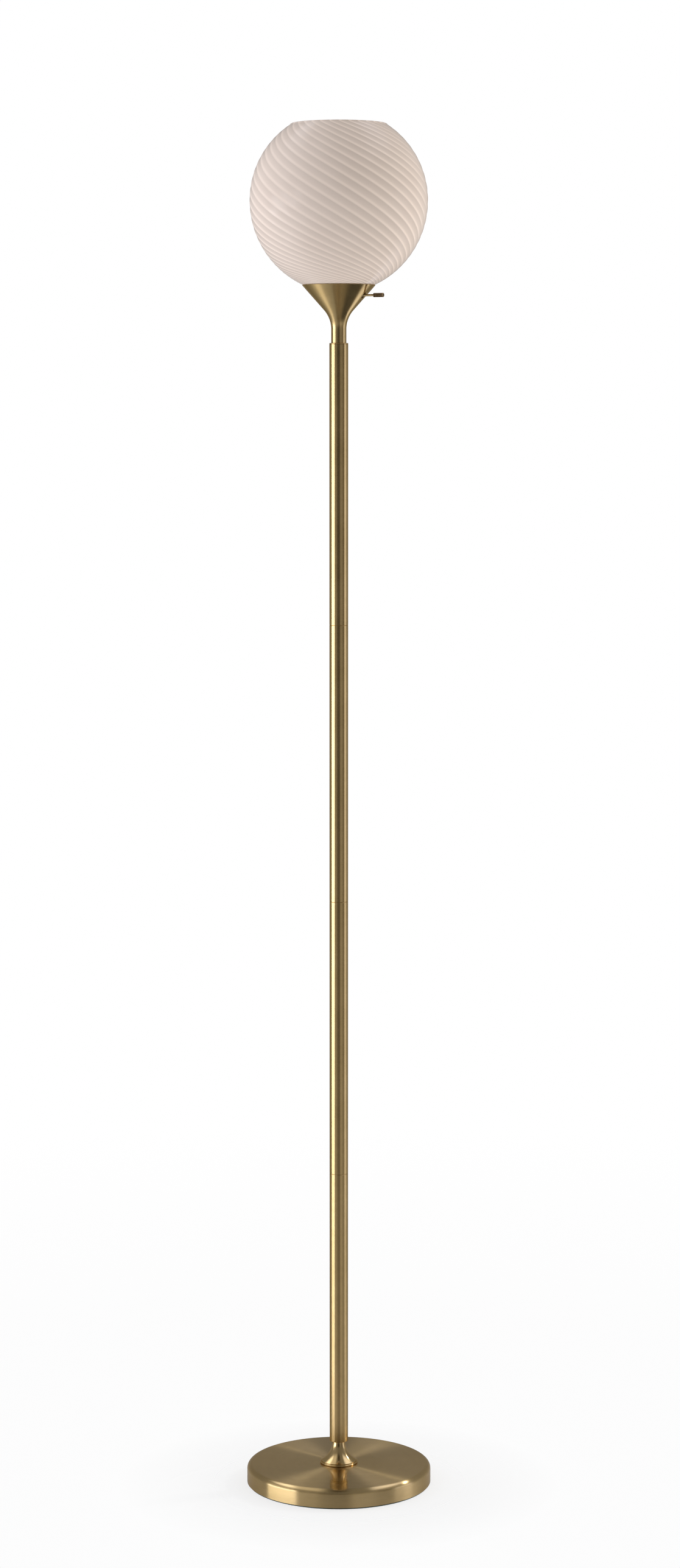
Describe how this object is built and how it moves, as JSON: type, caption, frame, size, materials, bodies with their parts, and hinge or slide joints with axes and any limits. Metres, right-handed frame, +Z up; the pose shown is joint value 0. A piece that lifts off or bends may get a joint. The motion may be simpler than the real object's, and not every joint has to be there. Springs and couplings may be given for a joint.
{
  "type": "floor lamp",
  "caption": "Torchiere floor lamp with a weighted round base, a pole of screwed tubes, a flared cup with a turn-knob switch and an open-topped swirled glass globe.",
  "frame": {"origin": "on the floor, on the pole's axis, under the centre of the base pad", "axes": "+Z up along the pole; -Y towards the front that is seen with the switch knob on the right; +X to the right; the cord inlet is at the back, +Y"},
  "size_m": [0.25, 0.2515, 1.8295],
  "materials": {
    "pad": "soft, matte, dark green-black sponge",
    "iron": "rough casting, painted black",
    "satin_brass": "antique brass plating over spun steel, brushed in circles",
    "polished_brass": "antique brass plating over spun steel, polished then lacquered",
    "brushed_brass": "antique brass plating over steel tube, brushed",
    "zinc_steel": "zinc plated",
    "black_plastic": "moulded, low gloss",
    "phenolic": "moulded phenolic",
    "contact_brass": "pressed, bright",
    "silicone": "soft, matte",
    "opal_glass": "opaque cased opal glass, swirled, cream",
    "black_lead": "wire insulation",
    "white_lead": "wire insulation",
    "splice_plastic": "moulded, tan",
    "rotor_fibre": "red-brown pressed fibre",
    "shaft_brass": "turned, bright",
    "dark_brass": "knurled, dark antique",
    "solder": "tinned",
    "bulb_insulation": "black glassy insulator",
    "bulb_cap_metal": "nickel plated, thin",
    "bulb_plastic": "white moulding",
    "bulb_diffuser": "frosted white diffuser",
    "circuit_board": "green lacquered board",
    "led_aluminium": "white solder mask on aluminium",
    "led_phosphor": "yellow phosphor gel"
  },
  "bodies": {
    "lamp": {"base_pad": "pad", "base_weight": "iron", "base_cover": "satin_brass", "cord_bushing": "black_plastic", "base_nut": "zinc_steel", "base_lock_washer": "zinc_steel", "base_washer": "zinc_steel", "base_pipe": "zinc_steel", "base_collar": "polished_brass", "pole_tube_1": "brushed_brass", "pole_tube_2": "brushed_brass", "pole_tube_3": "brushed_brass", "pole_tube_4": "brushed_brass", "tube_bush_1": "zinc_steel", "tube_bush_2": "zinc_steel", "tube_bush_3": "zinc_steel", "tube_bush_4": "zinc_steel", "tube_stud_1": "zinc_steel", "tube_stud_2": "zinc_steel", "tube_stud_3": "zinc_steel", "pole_top_bush": "brushed_brass", "head_pipe": "zinc_steel", "neck_plug": "zinc_steel", "neck_sleeve": "zinc_steel", "cup": "polished_brass", "holder_cap": "phenolic", "holder_body": "phenolic", "terminal_screws": "contact_brass", "screw_shell": "contact_brass", "centre_contact": "contact_brass", "switch_contact": "contact_brass", "glass_gasket": "silicone", "glass_ring": "phenolic", "glass_globe": "opal_glass", "line_lead": "black_lead", "neutral_lead": "white_lead", "splice_caps": "splice_plastic"},
    "switch_knob": {"switch_rotor": "rotor_fibre", "switch_shaft": "shaft_brass", "switch_grip": "dark_brass"},
    "bulb": {"bulb_tip": "solder", "bulb_insulator": "bulb_insulation", "bulb_cap": "bulb_cap_metal", "bulb_housing": "bulb_plastic", "bulb_driver": "circuit_board", "led_board": "led_aluminium", "led_chips": "led_phosphor", "bulb_dome": "bulb_diffuser"}
  },
  "joints": [
    {"name": "switch_turn", "type": "hinge", "parent": "lamp", "child": "switch_knob", "pos_m": [0, 0, 1.60575], "axis": [0.9205, -0.3907, 0], "continuous": true},
    {"name": "bulb_turn", "type": "hinge", "parent": "lamp", "child": "bulb", "pos_m": [0, 0, 1.6145], "axis": [0, 0, 1], "range_deg": [0, 1800]}
  ]
}
